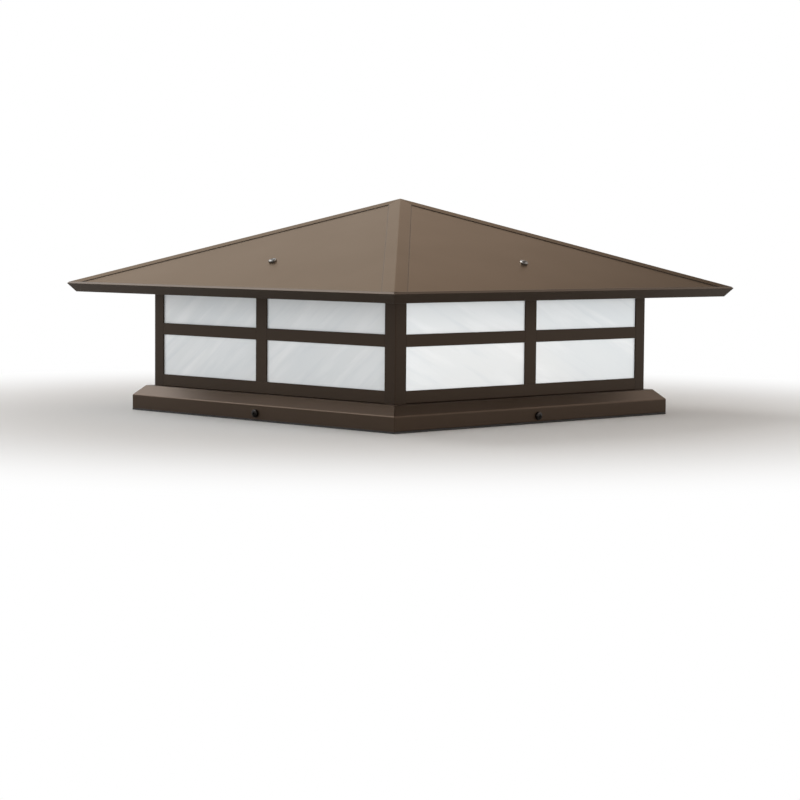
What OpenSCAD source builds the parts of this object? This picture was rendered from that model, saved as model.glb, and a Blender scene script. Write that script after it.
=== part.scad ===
// Low four-sided column light with a hip roof, art glass panes and a bevelled base skirt.
// Millimetres, +Z up. The origin is the centre of the footprint on the column top.
// Side 0 is the front (-Y); sides 1, 2 and 3 follow anticlockwise: right, back, left.

/* [Body frame] */
// Width of the glazed body over its corner posts
body_w = 372; // [300:1:440]
// Thickness of the frame metal
frame_t = 1.5; // [1:0.1:2.5]
// Width of each leg of a corner post
post_leg = 14.8; // [12:0.1:22]
// Height of the bottom rail
bottom_rail_h = 12.6; // [8:0.1:20]
// Height of the lower row of panes
lower_pane_h = 42.6; // [30:0.1:80]
// Height of the cross bar between the two rows of panes
cross_bar_h = 12.2; // [6:0.1:18]
// Height of the upper row of panes
upper_pane_h = 37; // [25:0.1:70]
// Height of the top rail, from the upper panes to the seat of the roof
top_rail_h = 27.4; // [16:0.1:40]
// Width of the upright bar on each side
upright_w = 16.3; // [8:0.1:24]
// How far the upright bars of the front and back sides stand from the middle of their side
upright_shift_front = -11.4; // [-30:0.1:30]
// How far the upright bars of the right and left sides stand from the middle of their side
upright_shift_right = 6.4; // [-30:0.1:30]
// Width of the bottom rails' inward flange, which carries the lamp tray
tray_flange_w = 14; // [13.5:0.1:20]
// Width of the top rails' sloping flange, seen from above
seat_flange_w = 18; // [16:0.1:26]
// How far the sloping flange stops short of the body's corners
seat_flange_in = 46; // [30:1:70]

/* [Base skirt] */
// Height of the foam seal under the skirt
seal_t = 2; // [1:0.1:4]
// Height of the skirt's upright wall
skirt_wall_h = 14.4; // [12:0.1:24]
// Height and width of the skirt's 45 degree shoulder
shoulder = 10.2; // [6:0.1:18]
// Radius that rounds the edge between the wall and the shoulder
shoulder_r = 2.2; // [1:0.1:8]
// Width of the flat ledge outside the posts
ledge_w = 6.7; // [3:0.1:14]
// Thickness of the skirt's metal
skirt_t = 3; // [2:0.1:4]
// Height of the skirt screws above the column top
skirt_screw_z = 8; // [7:0.1:9]

/* [Roof] */
// Pitch of the four roof faces, in degrees
roof_slope = 20; // [14:0.5:26]
// How far the eaves reach out beyond the body
overhang = 66.7; // [40:0.1:90]
// Thickness of the roof sheets
roof_t = 1.2; // [0.8:0.1:2]
// How far the hip caps stand above the roof sheets, square to them
hip_cap_t = 1.8; // [0.8:0.1:2.4]
// Width of each leg of a hip cap, seen from above
hip_cap_w = 12; // [6:0.1:20]
// Distance of the roof screws inside the posts' outer face, seen from above
roof_screw_in = 5.5; // [5:0.1:7]

/* [Eaves] */
// Height and width of the 45 degree hem along the eaves
hem = 1.9; // [1.2:0.1:3]
// Width of the hem's flat top
hem_top_w = 0.6; // [0.4:0.1:2]
// Height of the bevel below the hem
bevel_h = 8.9; // [5:0.1:14]
// How far the bevel runs in under the roof
bevel_in = 7.1; // [4:0.1:12]
// Width of the flat return at the foot of the bevel
return_w = 12; // [6:0.1:20]
// Width of the sloping shelf that carries the roof sheets
shelf_w = 14; // [8:0.1:24]
// Thickness of the eaves metal
trim_t = 1.5; // [1:0.1:2]

/* [Glass] */
// Thickness of the art glass
glass_t = 3; // [2:0.1:4]
// How far the glass reaches behind the posts
glass_lap = 5.5; // [3:0.1:9]
// How far the glass reaches behind the top rail
glass_top_lap = 5; // [3:0.1:8]
// Width of a glass clip
clip_w = 14; // [8:0.5:24]
// Distance of the glass clips from the body's corners
clip_in = 66; // [40:1:110]
// Thickness of a glass clip
clip_t = 1; // [0.6:0.1:1.4]
// Height of a clip's upper leg
clip_leg_h = 9; // [6:0.1:10]

/* [Screws] */
// Radius of the screws' thread
screw_r = 2; // [1.5:0.05:2.2]
// Radius of the pan heads
head_r = 4.3; // [3.4:0.05:5]
// Height of the pan heads
head_h = 2.9; // [2:0.05:3.4]
// Length of a roof screw below its head
roof_screw_l = 10; // [8:0.5:14]
// Width across the flats of the skirt nuts
nut_flats = 7; // [6.4:0.1:8]
// Height of the skirt nuts
nut_h = 3.2; // [2.4:0.1:4]
// Clearance round a screw in a plain hole
hole_clear = 0.3; // [0.2:0.05:0.5]

/* [Mounting bracket] */
// Thickness of the bracket
bracket_t = 2; // [1.5:0.1:3]
// Width of the bracket's four arms and upturned tabs
arm_w = 40; // [30:1:50]
// Width of the square plate in the middle of the bracket
hub_w = 64; // [60:1:90]
// Distance of each anchor hole from the middle
anchor_reach = 120; // [80:1:140]
// Radius of the anchor holes
anchor_r = 3.75; // [2.5:0.05:5]
// Radius of the cable hole through the bracket
cable_hole_r = 12; // [8:0.1:14]
// Radius of the cable's way through the grommet
cable_r = 6.5; // [4:0.1:7]

/* [Lamp tray] */
// Thickness of the lamp tray
tray_t = 1.2; // [0.8:0.1:2]
// Height of the rim round the lamp tray
tray_rim_h = 8; // [5:0.1:10]
// Radius of the lead hole in the middle of the tray
lead_hole_r = 10; // [7:0.1:14]
// Distance of the tray screws from the middle of their side
tray_screw_u = 60; // [20:1:100]

/* [Lamps] */
// Distance of each lamp from the middle, along X and along Y
lamp_reach = 75; // [64:1:90]
// Radius of the lampholder's foot
foot_r = 28; // [26:0.5:30]
// Height of the lampholder's foot
foot_h = 6; // [4:0.5:10]
// Radius of the lampholder's barrel
barrel_r = 18; // [17:0.5:20]
// Height of a lampholder
holder_h = 44; // [38:0.5:50]
// Radius of the lamp's screw cap
cap_r = 13; // [12.5:0.1:13.5]
// Height of the lamp's screw cap
cap_h = 22; // [18:0.5:24]
// Height of the insulator below the screw cap
insulator_h = 3; // [2:0.5:5]
// Radius of the contact tip
tip_r = 4.5; // [3:0.1:6]
// Height of the contact tip
tip_h = 1.5; // [1:0.1:3]
// Radius of the lamp's globe
globe_r = 24; // [20:0.5:25]
// Height of the lamp's glass above its cap
lamp_glass_h = 66; // [58:0.5:76]
// Thickness of the lamp's glass
bulb_t = 1; // [0.8:0.1:1.5]

/* [Hidden] */
$fn = 48;
bronze = [0.29, 0.24, 0.21];
bronze_roof = [0.50, 0.43, 0.37];
art_glass = [0.86, 0.89, 0.91];
dark_steel = [0.22, 0.20, 0.19];
plated_steel = [0.70, 0.71, 0.72];
white_enamel = [0.93, 0.93, 0.91];
porcelain = [0.95, 0.94, 0.90];
lamp_metal = [0.76, 0.74, 0.70];
lamp_white = [0.97, 0.96, 0.92];
black_rubber = [0.08, 0.08, 0.08];
earth_green = [0.15, 0.45, 0.22];

SIDES = ["front", "right", "back", "left"];
CORNERS = ["front_right", "back_right", "back_left", "front_left"];
BY_SIDE = [
    "bottom_rail", "top_rail", "cross_bar", "upright_bar", "glass_panel", "roof_panel", "eave_trim"
];
BY_CORNER = ["corner_post", "hip_cap", "lampholder", "lamp_cap", "lamp_glass"];
SINGLE = [
    "mounting_bracket", "cable_grommet", "ground_screw", "base_gasket", "base_skirt", "skirt_screws",
    "skirt_nuts", "glass_clips", "lamp_tray", "tray_screws", "lead_bushing", "roof_screws"
];
NODES = concat(
    SINGLE,
    [for (part = BY_SIDE) for (side = SIDES) str(part, "_", side)],
    [for (part = BY_CORNER) for (corner = CORNERS) str(part, "_", corner)]
);
node = "all";

// Clearances
seat_gap = 0.2;
glass_gap = 0.3;
tray_gap = 0.5;
tab_gap = 0.4;
nut_gap = 0.3;
hip_gap = 0.4;
edge_gap = 0.3;
slide_clear = 0.5;
cap_clear = 0.4;
thread_clear = 0.05;
plug_clear = 0.1;
// Further than any cut has to reach
reach = 1000;

// Plan distances from the middle
body_half = body_w / 2;
wall_half = body_half - frame_t;
opening_half = body_half - post_leg;
ledge_half = body_half + ledge_w;
skirt_half = ledge_half + shoulder;
roof_half = body_half + overhang;
hem_in = roof_half - hem - hem_top_w;
eave_edge = hem_in - edge_gap;
glass_outer = wall_half - glass_gap;
glass_inner = glass_outer - glass_t;
tray_half = glass_inner - tray_gap;
flange_inner = wall_half - tray_flange_w;
tab_face = skirt_half - skirt_t - tab_gap;
nut_face = tab_face - bracket_t - nut_gap;
skirt_screw_l = skirt_half - nut_face + nut_h + screw_r / 2;
ground_screw_at = hub_w / 2 - 2 * head_r;
tray_screw_h = tray_half - tray_t - head_r - tray_gap;
roof_screw_h = body_half - roof_screw_in;

// Heights above the column top
skirt_wall_top = seal_t + skirt_wall_h;
skirt_drop = skirt_t * sqrt(2);
tab_top = skirt_wall_top + skirt_half - tab_face - skirt_drop - tab_gap;
ledge_z = skirt_wall_top + shoulder;
flange_top = ledge_z + frame_t;
lower_pane_z = ledge_z + bottom_rail_h;
cross_bar_z = lower_pane_z + lower_pane_h;
upper_pane_z = cross_bar_z + cross_bar_h;
top_rail_z = upper_pane_z + upper_pane_h;
seat_z = top_rail_z + top_rail_h;
tray_top = flange_top + tray_t;
holder_top = tray_top + holder_h;
cap_top = holder_top + edge_gap;
cap_length = cap_h + insulator_h + tip_h;
glass_z = flange_top + glass_gap;
glass_top = top_rail_z + glass_top_lap;

// Heights along the roof, which falls away from the middle
roof_rise = tan(roof_slope);
roof_v = roof_t / cos(roof_slope);
cap_v = hip_cap_t / cos(roof_slope);
frame_v = frame_t / cos(roof_slope);
trim_v = trim_t / cos(roof_slope);
function seat(h) = seat_z + (body_half - h) * roof_rise;
function under(h) = seat(h) + seat_gap;
function outer(h) = under(h) + roof_v;
function shelf_low(h) = under(h) - trim_v;

// Points on an arc, for a rounded stretch of an outline
function arc(centre, radius, from, to, steps) = [
    for (i = [0:steps]) centre + radius * [
        cos(from + (to - from) * i / steps),
        sin(from + (to - from) * i / steps)
    ]
];

// Turns what is drawn for the front, or the front right corner, to side or corner k
module turned(k) {
    rotate([0, 0, 90 * k]) children();
}

// Extrudes an outline of [distance out, height] points along the front side
module along_side(length) {
    rotate([90, 0, -90]) linear_extrude(length, center = true) children();
}

// Everything in front of the two diagonals, set back from them by a gap
module front_quarter(gap) {
    linear_extrude(reach, center = true)
        polygon([[0, -gap], [reach, -reach - gap], [-reach, -reach - gap]]);
}

// Stands on the roof face of the front side, at a plan distance from the middle, Z square to the face
module on_roof_face(h) {
    translate([0, -h, outer(h)]) rotate([roof_slope, 0, 0]) children();
}

// Pan-head screw, its head sitting on Z = 0 and its shank below
module pan_screw(length) {
    recess_w = 0.25 * head_r;
    recess_l = 1.1 * head_r;
    crown_r = 0.6 * head_h;
    difference() {
        rotate_extrude() polygon(concat(
            [[0, -length], [screw_r, -length], [screw_r, 0], [head_r, 0]],
            [[head_r, head_h - crown_r]],
            arc([head_r - crown_r, head_h - crown_r], crown_r, 15, 90, 5),
            [[0, head_h]]
        ));
        for (turn = [0, 90]) rotate([0, 0, turn])
            translate([-recess_l / 2, -recess_w / 2, head_h / 2]) cube([recess_l, recess_w, head_h]);
    }
}

// Flanged bushing of rubber that lines a hole, with its way through
module bushing(barrel, bore, flange_r, flange_h, depth) {
    difference() {
        union() {
            cylinder(r = flange_r, h = flange_h);
            translate([0, 0, -depth]) cylinder(r = barrel, h = depth + flange_h / 2);
        }
        translate([0, 0, -reach / 2]) cylinder(r = bore, h = reach);
    }
}

// ---- Mounting bracket and what it holds ----

module mounting_bracket() {
    color(plated_steel) difference() {
        union() {
            translate([-hub_w / 2, -hub_w / 2, 0]) cube([hub_w, hub_w, bracket_t]);
            for (k = [0:3]) turned(k) {
                translate([-arm_w / 2, -tab_face, 0]) cube([arm_w, tab_face, bracket_t]);
                translate([-arm_w / 2, -tab_face, 0]) cube([arm_w, bracket_t, tab_top]);
            }
        }
        cylinder(r = cable_hole_r, h = reach, center = true);
        translate([ground_screw_at, ground_screw_at, 0])
            cylinder(r = screw_r + hole_clear, h = reach, center = true);
        for (k = [0:3]) turned(k) {
            translate([0, -anchor_reach, 0]) cylinder(r = anchor_r, h = reach, center = true);
            tab_slot();
        }
    }
}

// Slot in a tab, open at the top, so that the skirt's screws lift out of it
module tab_slot() {
    slot_r = screw_r + slide_clear;
    depth = 2 * bracket_t;
    translate([0, bracket_t - tab_face, skirt_screw_z]) rotate([90, 0, 0])
        cylinder(r = slot_r, h = depth, center = true);
    translate([-slot_r, bracket_t / 2 - tab_face - depth / 2, skirt_screw_z])
        cube([2 * slot_r, depth + bracket_t, reach]);
}

module cable_grommet() {
    flange_over = 4;
    color(black_rubber) translate([0, 0, bracket_t])
        bushing(cable_hole_r - plug_clear, cable_r, cable_hole_r + flange_over, 2, bracket_t);
}

module ground_screw() {
    color(earth_green) translate([ground_screw_at, ground_screw_at, bracket_t])
        pan_screw(bracket_t);
}

// ---- Base skirt ----

module base_gasket() {
    color(black_rubber) difference() {
        translate([-skirt_half, -skirt_half, 0]) cube([2 * skirt_half, 2 * skirt_half, seal_t]);
        inner = skirt_half - skirt_t;
        translate([-inner, -inner, -seal_t]) cube([2 * inner, 2 * inner, 3 * seal_t]);
    }
}

// Section of the skirt: wall, rounded edge, shoulder, ledge
module skirt_section() {
    inner_wall = skirt_half - skirt_t;
    inner_ledge = ledge_z - skirt_t;
    edge_in = shoulder_r * tan(45 / 2);
    polygon(concat(
        [[inner_wall, seal_t], [skirt_half, seal_t]],
        arc([skirt_half - shoulder_r, skirt_wall_top - edge_in], shoulder_r, 0, 45, 6),
        [[ledge_half, ledge_z], [flange_inner, ledge_z], [flange_inner, inner_ledge]],
        [[skirt_half - skirt_drop - inner_ledge + skirt_wall_top, inner_ledge]],
        [[inner_wall, skirt_wall_top + skirt_t - skirt_drop]]
    ));
}

module base_skirt() {
    color(bronze) difference() {
        union() {
            for (k = [0:3]) turned(k) intersection() {
                along_side(2 * skirt_half) skirt_section();
                front_quarter(0);
            }
        }
        for (k = [0:3]) turned(k)
            translate([0, -skirt_half, skirt_screw_z]) rotate([90, 0, 0])
                cylinder(r = screw_r + hole_clear, h = 3 * skirt_t, center = true);
        rim_screw_places() cylinder(r = screw_r + hole_clear, h = reach, center = true);
    }
}

module skirt_screws() {
    color(dark_steel) for (k = [0:3]) turned(k)
        translate([0, -skirt_half, skirt_screw_z]) rotate([90, 0, 0]) pan_screw(skirt_screw_l);
}

module skirt_nuts() {
    color(dark_steel) for (k = [0:3]) turned(k)
        translate([0, -nut_face, skirt_screw_z]) rotate([-90, 0, 0]) difference() {
            cylinder(r = nut_flats / sqrt(3), h = nut_h, $fn = 6);
            translate([0, 0, -nut_h]) cylinder(r = screw_r + thread_clear, h = 3 * nut_h);
        }
}

// ---- Body frame ----

module corner_post(k) {
    color(bronze) turned(k) {
        difference() {
            translate([opening_half, -body_half, ledge_z]) cube([post_leg, post_leg, seat_z - ledge_z]);
            translate([opening_half - frame_t, frame_t - body_half, 0]) cube([post_leg, post_leg, reach]);
        }
    }
}

module bottom_rail(k) {
    color(bronze) difference() {
        turned(k) {
            translate([-opening_half, -body_half, ledge_z]) cube([2 * opening_half, frame_t, bottom_rail_h]);
            translate([-flange_inner, -body_half, ledge_z])
                cube([2 * flange_inner, frame_t + tray_flange_w, frame_t]);
        }
        rim_screw_places() cylinder(r = screw_r + thread_clear, h = reach, center = true);
    }
}

// The top rail's plate closes the wall, and its sloping flange carries the roof
module top_rail(k) {
    plate = [
        [body_half, top_rail_z], [body_half, seat(body_half)],
        [wall_half, seat(wall_half)], [wall_half, top_rail_z]
    ];
    flange_end = body_half - seat_flange_w;
    flange = [
        [body_half, seat(body_half)], [flange_end, seat(flange_end)],
        [flange_end, seat(flange_end) - frame_v], [body_half, seat(body_half) - frame_v]
    ];
    slot_r = screw_r + hole_clear;
    slot_run = (roof_screw_l + hole_clear) * tan(roof_slope);
    color(bronze) turned(k) difference() {
        union() {
            along_side(2 * opening_half) polygon(plate);
            along_side(2 * (body_half - seat_flange_in)) polygon(flange);
        }
        on_roof_face(roof_screw_h) {
            cylinder(r = slot_r, h = 2 * roof_screw_l, center = true);
            translate([0, slot_run, 0]) cylinder(r = slot_r, h = 2 * roof_screw_l, center = true);
            translate([-slot_r, 0, -roof_screw_l]) cube([2 * slot_r, slot_run, 2 * roof_screw_l]);
        }
    }
}

function upright_shift(k) = k % 2 == 0 ? upright_shift_front : upright_shift_right;

// The two bars of a side are halved into each other where they cross
module halving(k, depth) {
    translate([upright_shift(k) - upright_w / 2, depth - body_half, cross_bar_z])
        cube([upright_w, frame_t / 2, cross_bar_h]);
}

module cross_bar(k) {
    color(bronze) turned(k) difference() {
        translate([-opening_half, -body_half, cross_bar_z]) cube([2 * opening_half, frame_t, cross_bar_h]);
        halving(k, 0);
    }
}

module upright_bar(k) {
    color(bronze) turned(k) difference() {
        translate([upright_shift(k) - upright_w / 2, -body_half, lower_pane_z])
            cube([upright_w, frame_t, top_rail_z - lower_pane_z]);
        halving(k, frame_t / 2);
    }
}

// ---- Glass ----

module glass_panel(k) {
    half = opening_half + glass_lap;
    color(art_glass) turned(k)
        translate([-half, -glass_outer, glass_z]) cube([2 * half, glass_t, glass_top - glass_z]);
}

// Spring clips on the top rails, which step in behind the glass
module glass_clips() {
    back = glass_inner - glass_gap;
    step = glass_top + glass_gap;
    outline = [
        [wall_half, step], [wall_half, step + clip_leg_h],
        [wall_half - clip_t, step + clip_leg_h], [wall_half - clip_t, step + clip_t],
        [back - clip_t, step + clip_t], [back - clip_t, top_rail_z],
        [back, top_rail_z], [back, step]
    ];
    u = body_half - clip_in;
    color(plated_steel) for (k = [0:3]) turned(k)
        for (x = [-u, u]) translate([x, 0, 0]) along_side(clip_w) polygon(outline);
}

// ---- Lamp tray ----

module lamp_tray() {
    inner = tray_half - tray_t;
    color(white_enamel) difference() {
        translate([-tray_half, -tray_half, flange_top]) cube([2 * tray_half, 2 * tray_half, tray_rim_h]);
        translate([-inner, -inner, tray_top]) cube([2 * inner, 2 * inner, tray_rim_h]);
        cylinder(r = lead_hole_r, h = reach, center = true);
        rim_screw_places() cylinder(r = screw_r + hole_clear, h = reach, center = true);
        foot_screw_places() cylinder(r = screw_r + thread_clear, h = reach, center = true);
    }
}

// Screws near the tray's rim go through the tray, the bottom rails and the skirt's ledge
module rim_screw_places() {
    for (k = [0:3]) turned(k) for (u = [-tray_screw_u, tray_screw_u])
        translate([u, -tray_screw_h, 0]) children();
}

// Screws in the lampholders' feet
module foot_screw_places() {
    from_axis = barrel_r + head_r + tray_gap;
    for (k = [0:3]) at_lamp(k) for (x = [-from_axis, from_axis])
        translate([x, 0, 0]) children();
}

module tray_screws() {
    length = foot_h + tray_t;
    color(plated_steel) {
        rim_screw_places() translate([0, 0, tray_top]) pan_screw(length);
        foot_screw_places() translate([0, 0, tray_top + foot_h]) pan_screw(length);
    }
}

module lead_bushing() {
    color(black_rubber) translate([0, 0, tray_top])
        bushing(lead_hole_r - plug_clear, lead_hole_r - 3, lead_hole_r + 3, 2, tray_t);
}

// ---- Lamps ----

module at_lamp(k) {
    turned(k) translate([lamp_reach, -lamp_reach, 0]) children();
}

module lampholder(k) {
    color(porcelain) difference() {
        at_lamp(k) difference() {
            union() {
                translate([0, 0, tray_top]) cylinder(r = foot_r, h = foot_h);
                translate([0, 0, tray_top]) cylinder(r = barrel_r, h = holder_h);
            }
            translate([0, 0, cap_top - cap_length - edge_gap]) cylinder(r = cap_r + cap_clear, h = reach);
        }
        foot_screw_places() cylinder(r = screw_r + hole_clear, h = reach, center = true);
    }
}

// Screw cap: shell, insulator and contact tip
module lamp_cap(k) {
    color(lamp_metal) at_lamp(k) translate([0, 0, cap_top]) rotate_extrude() polygon([
        [0, 0], [cap_r, 0], [cap_r, -cap_h], [tip_r, tip_h - cap_length],
        [tip_r, -cap_length], [0, -cap_length]
    ]);
}

// Pear-shaped bulb of thin glass, open at its neck
module lamp_glass(k) {
    bulb = bulb_side(0);
    inside = bulb_side(bulb_t);
    color(lamp_white) at_lamp(k) translate([0, 0, cap_top]) rotate_extrude() polygon(concat(
        bulb,
        [for (i = [1:len(inside)]) inside[len(inside) - i]]
    ));
}

// Side of the bulb, set in by a distance: neck, curve out to the globe, round crown
function bulb_side(inset) =
    let (join = 25)
    let (centre = [0, lamp_glass_h - globe_r])
    let (neck = cap_r - 0.5 - inset)
    let (radius = globe_r - inset)
    let (end = centre + radius * [cos(join), -sin(join)])
    concat(
        [[neck, 0]],
        [for (i = [1:6]) [neck + (end[0] - neck) * ease(i / 7), end[1] * i / 7]],
        arc(centre, radius, -join, 90, 16)
    );

// Smooth step from 0 to 1
function ease(t) = t * t * (3 - 2 * t);

// ---- Roof ----

module roof_panel(k) {
    slab = [
        [eave_edge, outer(eave_edge)], [0, outer(0)], [0, under(0)], [eave_edge, under(eave_edge)]
    ];
    color(bronze_roof) turned(k) difference() {
        intersection() {
            along_side(2 * roof_half) polygon(slab);
            front_quarter(hip_gap);
        }
        on_roof_face(roof_screw_h) cylinder(r = screw_r + hole_clear, h = 4 * roof_t, center = true);
    }
}

// One leg of a hip cap lies on the front face, next to the front right hip
module hip_cap_leg() {
    slab = [
        [eave_edge, outer(eave_edge) + cap_v], [0, outer(0) + cap_v], [0, outer(0)],
        [eave_edge, outer(eave_edge)]
    ];
    across = hip_cap_w * sqrt(2);
    intersection() {
        along_side(2 * roof_half) polygon(slab);
        linear_extrude(reach, center = true) polygon([
            [0, 0], [roof_half, -roof_half], [roof_half - across, -roof_half], [0, -across]
        ]);
    }
}

module hip_cap(k) {
    color(bronze_roof) turned(k) {
        hip_cap_leg();
        mirror([1, 1, 0]) hip_cap_leg();
    }
}

// Section of the eaves in one outline: hem, shelf under the roof sheets, flat return, bevel
module eave_section() {
    edge_z = outer(roof_half);
    hem_z = edge_z + hem;
    shelf_in = hem_in - shelf_w;
    foot_x = roof_half - bevel_in;
    foot_z = edge_z - bevel_h;
    bevel_rise = bevel_h / bevel_in;
    bevel_v = trim_t * norm([1, bevel_rise]);
    return_top = foot_x - (bevel_v - trim_t) / bevel_rise;
    // Where the bevel's back meets the shelf's underside
    overlap = foot_z + bevel_v + (hem_in - foot_x) * bevel_rise - shelf_low(hem_in);
    meet_x = hem_in - max(0, overlap) / (bevel_rise + roof_rise);
    polygon(concat(
        [[roof_half, edge_z], [roof_half - hem, hem_z], [hem_in, hem_z]],
        [[hem_in, under(hem_in)], [shelf_in, under(shelf_in)], [shelf_in, shelf_low(shelf_in)]],
        overlap > 0 ? [] : [[hem_in, shelf_low(hem_in)]],
        [[meet_x, foot_z + bevel_v + (meet_x - foot_x) * bevel_rise]],
        [[return_top, foot_z + trim_t], [foot_x - return_w, foot_z + trim_t]],
        [[foot_x - return_w, foot_z], [foot_x, foot_z]]
    ));
}

module eave_trim(k) {
    color(bronze) turned(k) intersection() {
        along_side(2 * roof_half) eave_section();
        front_quarter(0);
    }
}

module roof_screws() {
    color(dark_steel) for (k = [0:3]) turned(k)
        on_roof_face(roof_screw_h) pan_screw(roof_screw_l);
}

// ---- Every node ----

function wanted(name) = node == "all" || node == name;

if (wanted("mounting_bracket")) mounting_bracket();
if (wanted("cable_grommet")) cable_grommet();
if (wanted("ground_screw")) ground_screw();
if (wanted("base_gasket")) base_gasket();
if (wanted("base_skirt")) base_skirt();
if (wanted("skirt_screws")) skirt_screws();
if (wanted("skirt_nuts")) skirt_nuts();
if (wanted("glass_clips")) glass_clips();
if (wanted("lamp_tray")) lamp_tray();
if (wanted("tray_screws")) tray_screws();
if (wanted("lead_bushing")) lead_bushing();
if (wanted("roof_screws")) roof_screws();
for (k = [0:3]) {
    if (wanted(str("bottom_rail_", SIDES[k]))) bottom_rail(k);
    if (wanted(str("top_rail_", SIDES[k]))) top_rail(k);
    if (wanted(str("cross_bar_", SIDES[k]))) cross_bar(k);
    if (wanted(str("upright_bar_", SIDES[k]))) upright_bar(k);
    if (wanted(str("glass_panel_", SIDES[k]))) glass_panel(k);
    if (wanted(str("roof_panel_", SIDES[k]))) roof_panel(k);
    if (wanted(str("eave_trim_", SIDES[k]))) eave_trim(k);
    if (wanted(str("corner_post_", CORNERS[k]))) corner_post(k);
    if (wanted(str("hip_cap_", CORNERS[k]))) hip_cap(k);
    if (wanted(str("lampholder_", CORNERS[k]))) lampholder(k);
    if (wanted(str("lamp_cap_", CORNERS[k]))) lamp_cap(k);
    if (wanted(str("lamp_glass_", CORNERS[k]))) lamp_glass(k);
}
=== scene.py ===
"""Deck post cap light: fine shapes, finishes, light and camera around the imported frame. Metres, Z up."""

import math

import bmesh
import bpy
from mathutils import Matrix, Quaternion, Vector, noise


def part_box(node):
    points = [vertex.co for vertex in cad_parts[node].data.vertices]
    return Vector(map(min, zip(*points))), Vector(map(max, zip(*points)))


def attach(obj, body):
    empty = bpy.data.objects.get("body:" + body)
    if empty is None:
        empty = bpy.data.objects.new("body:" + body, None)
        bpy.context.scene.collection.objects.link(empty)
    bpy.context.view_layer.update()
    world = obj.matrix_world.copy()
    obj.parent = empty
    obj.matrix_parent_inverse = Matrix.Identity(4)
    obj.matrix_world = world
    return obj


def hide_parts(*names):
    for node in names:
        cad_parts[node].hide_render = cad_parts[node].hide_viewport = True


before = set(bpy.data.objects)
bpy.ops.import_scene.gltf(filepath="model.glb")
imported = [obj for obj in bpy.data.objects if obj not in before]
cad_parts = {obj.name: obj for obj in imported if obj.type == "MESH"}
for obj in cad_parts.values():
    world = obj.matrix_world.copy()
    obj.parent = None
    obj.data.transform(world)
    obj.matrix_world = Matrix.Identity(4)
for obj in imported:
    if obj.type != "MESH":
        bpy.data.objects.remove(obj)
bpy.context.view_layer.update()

MM = 0.001
SIDES = ("front", "right", "back", "left")
CORNERS = ("front_right", "back_right", "back_left", "front_left")
FULL_TURN = 2 * math.pi

# ---- Sizes, read from the frame where a node's box gives them ----

post_low, post_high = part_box("corner_post_front_right")
BODY = post_high.x
OPENING = post_low.x
LEDGE_Z = post_low.z
SEAT_Z = post_high.z
SHEET = 1.5 * MM
# Gap between two sheets that meet, and the reach of a test for what lies on an edge
SEAM = 0.15 * MM
RAIL_END = OPENING - SEAM
# Corners nearer than this are one
WELD = 0.001 * MM
# Rounding of a cut edge, and of the folds of the skirt's corners, posts and bottom rails
CUT_EDGE = 0.2 * MM
SKIRT_FOLD = 0.7 * MM
POST_FOLD = 1.1 * MM
RAIL_FOLD = 0.9 * MM

PANE_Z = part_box("bottom_rail_front")[1].z
CROSS_LOW, CROSS_HIGH = (corner.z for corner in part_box("cross_bar_front"))
TOP_RAIL_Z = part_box("top_rail_front")[0].z
FLANGE_IN = -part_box("bottom_rail_front")[1].y
SEAT_IN = -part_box("top_rail_front")[1].y
SEAT_HALF = 140 * MM

skirt_low, skirt_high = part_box("base_skirt")
SKIRT = skirt_high.x
SEAL_TOP = skirt_low.z
SKIRT_SHEET = 3 * MM
# The 45 degree shoulder, across and up, and the round edge below it
SHOULDER = 10.2 * MM
EDGE_R = 2.2 * MM

SLOPE = math.radians(20)
RISE = math.tan(SLOPE)
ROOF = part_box("eave_trim_front")[1].x
ROOF_SHEET = 1.2 * MM
EAVE_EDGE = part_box("hip_cap_front_right")[1].x
# A hip cap's leg, its sheet and fold, and its ridge and edges above the roof sheets
HIP_W = 12 * MM
HIP_SHEET = 0.4 * MM
HIP_FOLD = 0.6 * MM
HIP_STAND = 1.05 * MM
HIP_EDGE_STAND = 0.6 * MM
# Section of the dark strip at a hip cap's edge, painted shade for the shadow line there: in under the cap,
# and up, in millimetres
SHADE_STRIP_SECTION = ((-0.4, 0), (-0.32, 0.1), (0.3, 0.1), (0.3, 0))
# The eaves: 45 degree hem and its flat top, foot of the bevel, run of the shelf and return
HEM = 1.9 * MM
HEM_TOP = 0.6 * MM
EAVE_FOOT = ROOF - 7.1 * MM
EAVE_SHELF = 14 * MM
EAVE_RETURN = 12 * MM

SCREW_R = 2 * MM
HEAD_R = 4.3 * MM
HEAD_H = 2.9 * MM
# Where screws stand: out from the middle, up, or to each side of a middle line
ROOF_SCREW_OUT = 180.5 * MM
SKIRT_SCREW_Z = 8 * MM
RIM_SCREW_OUT = 174.7 * MM
RIM_SCREW_SIDE = 60 * MM
FOOT_SCREW_SIDE = 22.8 * MM
# How far the recess of each of four like screws is turned, in degrees
SCREW_TURNS = (20, 65, 5, 40)

TRAY_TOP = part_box("lamp_tray")[0].z + 1.2 * MM
# A lamp's axis from the middle, both ways
LAMP = 75 * MM
HOLDER_FOOT = 6 * MM
holder_low, holder_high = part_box("lampholder_front_right")
CAP_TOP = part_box("lamp_glass_front_right")[0].z
CAP_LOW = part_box("lamp_cap_front_right")[0].z
GLASS_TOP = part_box("lamp_glass_front_right")[1].z


def seat(plan):
    """Height of the body's roof seat at a plan distance from the middle."""
    return SEAT_Z + (BODY - plan) * RISE


def roof_low(plan):
    """Height of the roof sheet's underside, just clear of its seat."""
    return seat(plan) + 0.2 * MM


def roof_top(plan):
    """Height of the roof sheet's upper face."""
    return roof_low(plan) + ROOF_SHEET / math.cos(SLOPE)


# ---- Modelling by hand, step by step ----


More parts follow.
